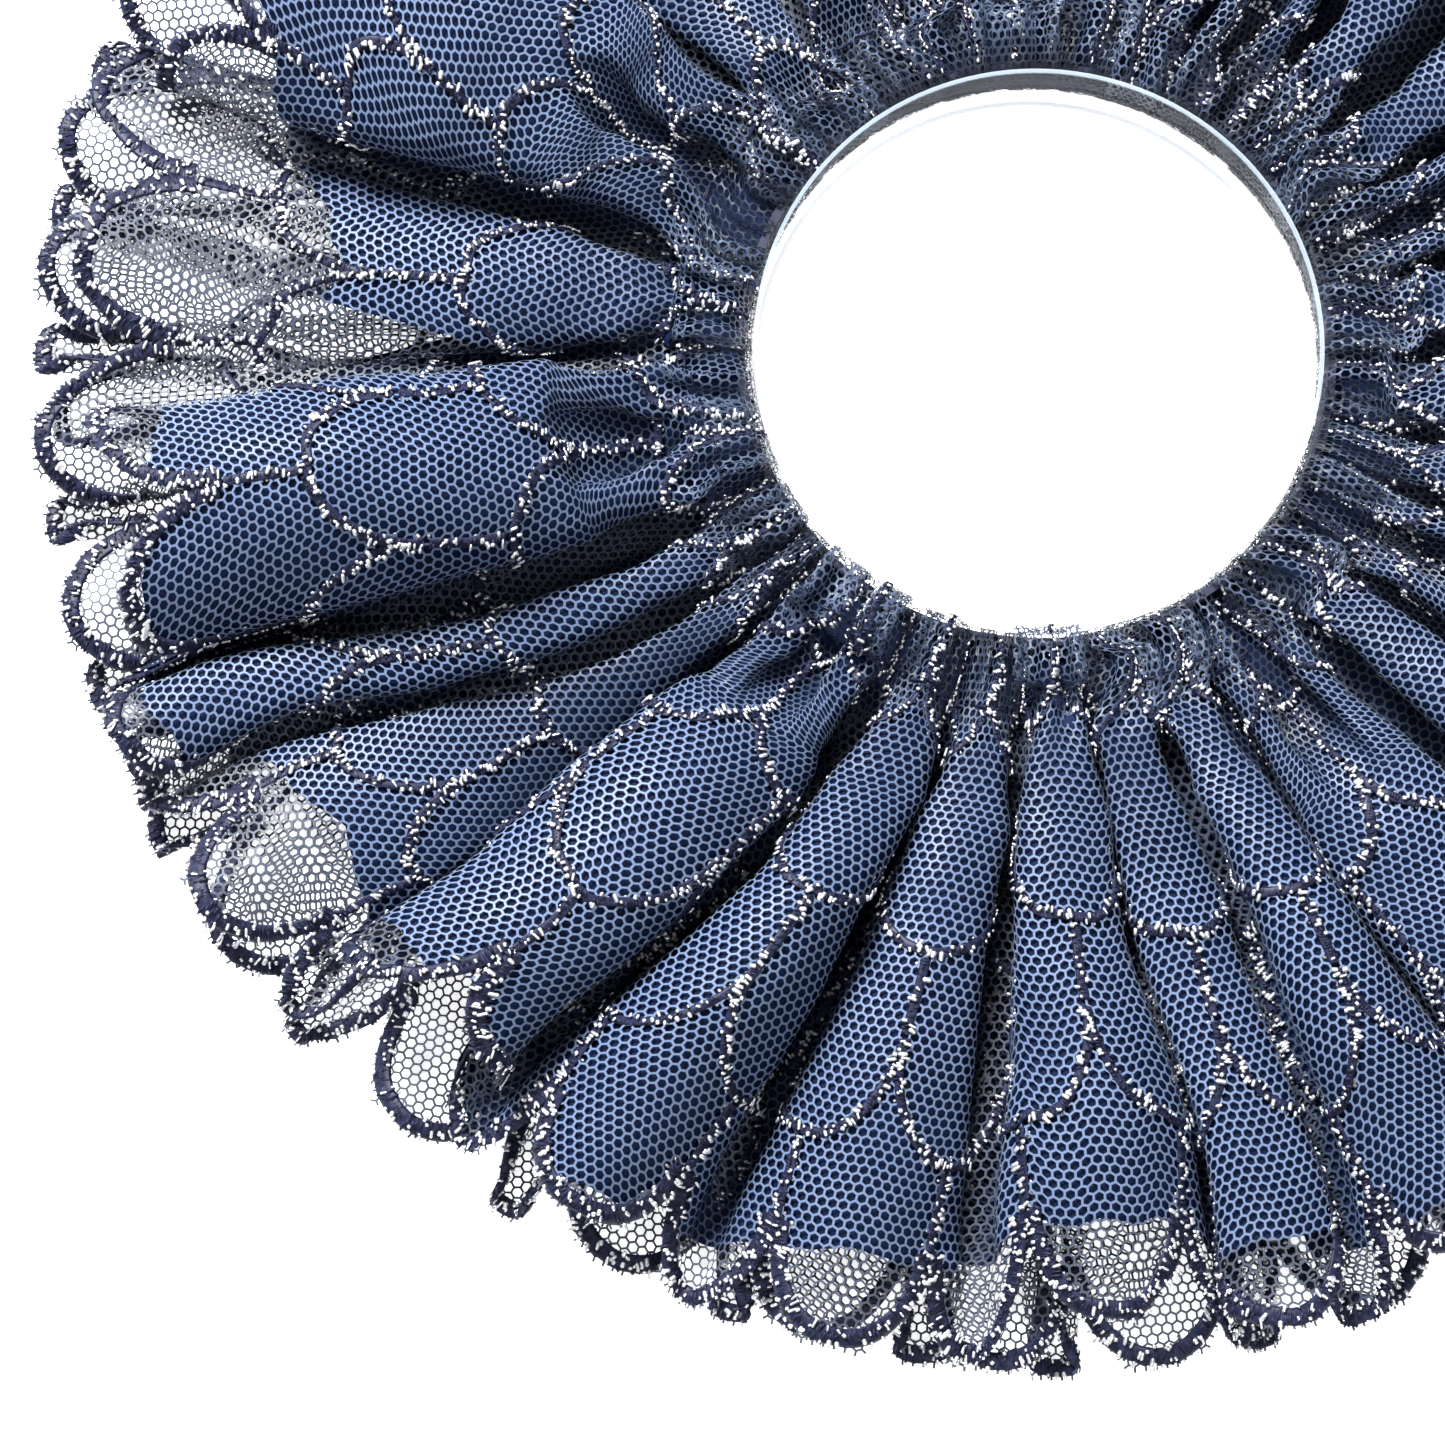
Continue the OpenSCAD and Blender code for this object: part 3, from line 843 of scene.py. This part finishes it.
def elastic_material():
    material, tree, shader = new_material("braided_elastic", 0.8)
    place, _ = varied_colour(tree, shader, ELASTIC_DARK, ELASTIC_LIGHT, 700)
    ribs = tree.nodes.new("ShaderNodeTexWave")
    ribs.bands_direction = "Z"
    ribs.inputs["Scale"].default_value = 450
    tree.links.new(place, ribs.inputs["Vector"])
    add_bump(tree, shader, ribs.outputs["Fac"], 0.6, 0.0002)
    return material


def dress(piece, body, slot, material, *nodes):
    """Gives a piece its body and material, and hides the CAD nodes that it stands for. slot is not used."""
    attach(piece, body)
    if nodes:
        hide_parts(*nodes)
    piece.data.materials.append(material)
    return piece


def dress_node(node, material):
    """Gives a CAD node that stays visible its material."""
    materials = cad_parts[node].data.materials
    materials.clear()
    materials.append(material)


# The path that the valleys follow outwards, as radius and height, and how much of their height the folds keep.
UPPER_PATH = [(WALL_R, WALL_MIDDLE), (WALL_R, casing_high[2] - 0.5), (WALL_R + 0.8, casing_high[2] + 0.1),
              (32.5, 8.6), (35.0, 8.2), (37.0, 7.6), (40.0, 6.8), (48, 5.4), (62, 4.9), (80, 5.0), (100, 5.0),
              (118, 4.8)]
LOWER_PATH = [(WALL_R, WALL_MIDDLE), (WALL_R, casing_low[2] + 0.9), (WALL_R + 0.8, casing_low[2] + 0.3),
              (32.5, 1.1), (34.5, 3.6), (40, 4.2), (48, 2.2), (56, 0.9), (62, 0.8), (80, 0.8), (100, 0.8),
              (118, 0.8)]
UPPER_KEEPS = [(29.0, 0.03), (30, 0.25), (31, 0.55), (34, 0.75), (36.5, 0.6), (40, 0.85), (46, 1.0), (118, 1.0)]
LOWER_KEEPS = [(29, 0.02), (30.5, 0.06), (33, 0.2), (36.5, 0.3), (44, 0.7), (60, 0.9), (118, 0.9)]


def lace_side(side, cloth, bare_from, casing, net, satin, silver):
    """One half of the lace: its net, satin, silver and seam. casing is the CAD nodes that its net also stands for."""
    for panel in net_panels(f"{side}_net", cloth, bare_from, seed=31):
        dress(panel, "lace", "net", net, f"{side}_ruffle", *casing)
    for seed, (part, rows) in enumerate(SATIN_ROWS.items(), start=41):
        piece = satin_row(f"{side}_{part}_satin", cloth, rows, seed)
        dress(piece, "lace", "satin_thread", satin, f"{side}_{part}")
    for seed, (part, rows) in enumerate(SILVER_ROWS.items(), start=51):
        piece = silver_flecks(f"{side}_silver_{part}", cloth, rows, seed)
        dress(piece, "lace", "silver_thread", silver, f"{side}_silver_thread")
    seam = seam_strip(f"{side}_seam_stitches", cloth, f"{side}_seam")
    dress(seam, "lace", "satin_thread", satin, f"{side}_seam")


def main():
    upper = fold_cloth(UPPER_LOBES, UPPER_PATH, UPPER_KEEPS, crown=0.6, seed=11)
    lower = fold_cloth(LOWER_LOBES, LOWER_PATH, LOWER_KEEPS, crown=0.15, seed=23)
    net, satin, silver = net_material(), satin_material(), silver_material()
    lace_side("upper", upper, lining_cut, ["casing"], net, satin, silver)
    lace_side("lower", lower, np.zeros_like, [], net, satin, silver)

    lining = dress(lining_sheet(upper), "lace", "lining", lining_material(), "lining")
    dress(casing_thread(upper), "lace", "satin_thread", satin, "casing_stitching")
    dress_node("clear_hoop", hoop_material())
    dress_node("elastic_band", elastic_material())
    dress_node("elastic_stitches", satin)


# The stage.

def make_floor():
    bpy.ops.mesh.primitive_plane_add(size=3.0, location=(0, 0, -0.0004))
    floor = bpy.context.object
    floor.name = "floor"
    material, _, shader = new_material("floor_white", 0.9)
    shader.inputs["Base Color"].default_value = (0.95, 0.95, 0.95, 1)
    shader.inputs["Emission Color"].default_value = (1, 1, 1, 1)
    shader.inputs["Emission Strength"].default_value = 0.8
    floor.data.materials.append(material)


def area_light(name, place, size, power):
    """A square light that faces the object."""
    light = bpy.data.lights.new(name, "AREA")
    light.size, light.energy = size, power
    lamp = bpy.data.objects.new(name, light)
    lamp.location = place
    lamp.rotation_euler = (Vector((0, 0, 0)) - Vector(place)).to_track_quat("-Z", "Y").to_euler()
    bpy.context.scene.collection.objects.link(lamp)


def make_light():
    world = bpy.data.worlds.new("studio")
    world.use_nodes = True
    sky = world.node_tree.nodes["Background"]
    sky.inputs["Color"].default_value = (0.93, 0.96, 1.0, 1)
    sky.inputs["Strength"].default_value = 0.10
    bpy.context.scene.world = world
    area_light("key", (-0.30, 0.46, 0.60), 0.22, 19.0)
    area_light("fill", (0.6, -0.5, 0.7), 0.6, 2.0)
    for k in range(5):
        turn = math.radians(72 * k + 20)
        area_light(f"glint_{k}", (0.5 * math.cos(turn), 0.5 * math.sin(turn), 0.6), 0.04, 0.7)


# The camera looks down, a little from below the frame's middle, and the hole lies up and right of the middle.
FRAME_WIDTH = 0.1445
CAMERA_DISTANCE = 0.40
CAMERA_TILT = 9.0
AIM = Vector((-0.032, -0.0385, 0.009))


def make_camera():
    data = bpy.data.cameras.new("camera")
    data.sensor_width = 36
    data.lens = 36 * CAMERA_DISTANCE / FRAME_WIDTH
    data.clip_start, data.clip_end = 0.01, 10
    camera = bpy.data.objects.new("camera", data)
    tilt = math.radians(CAMERA_TILT)
    camera.location = AIM + CAMERA_DISTANCE * Vector((0, -math.sin(tilt), math.cos(tilt)))
    camera.rotation_euler = (tilt, 0, 0)
    bpy.context.scene.collection.objects.link(camera)
    bpy.context.scene.camera = camera


def set_picture():
    scene = bpy.context.scene
    scene.view_settings.view_transform = "Standard"
    scene.cycles.max_bounces = 6
    scene.cycles.transparent_max_bounces = 16


make_camera()
main()
make_floor()
make_light()
set_picture()
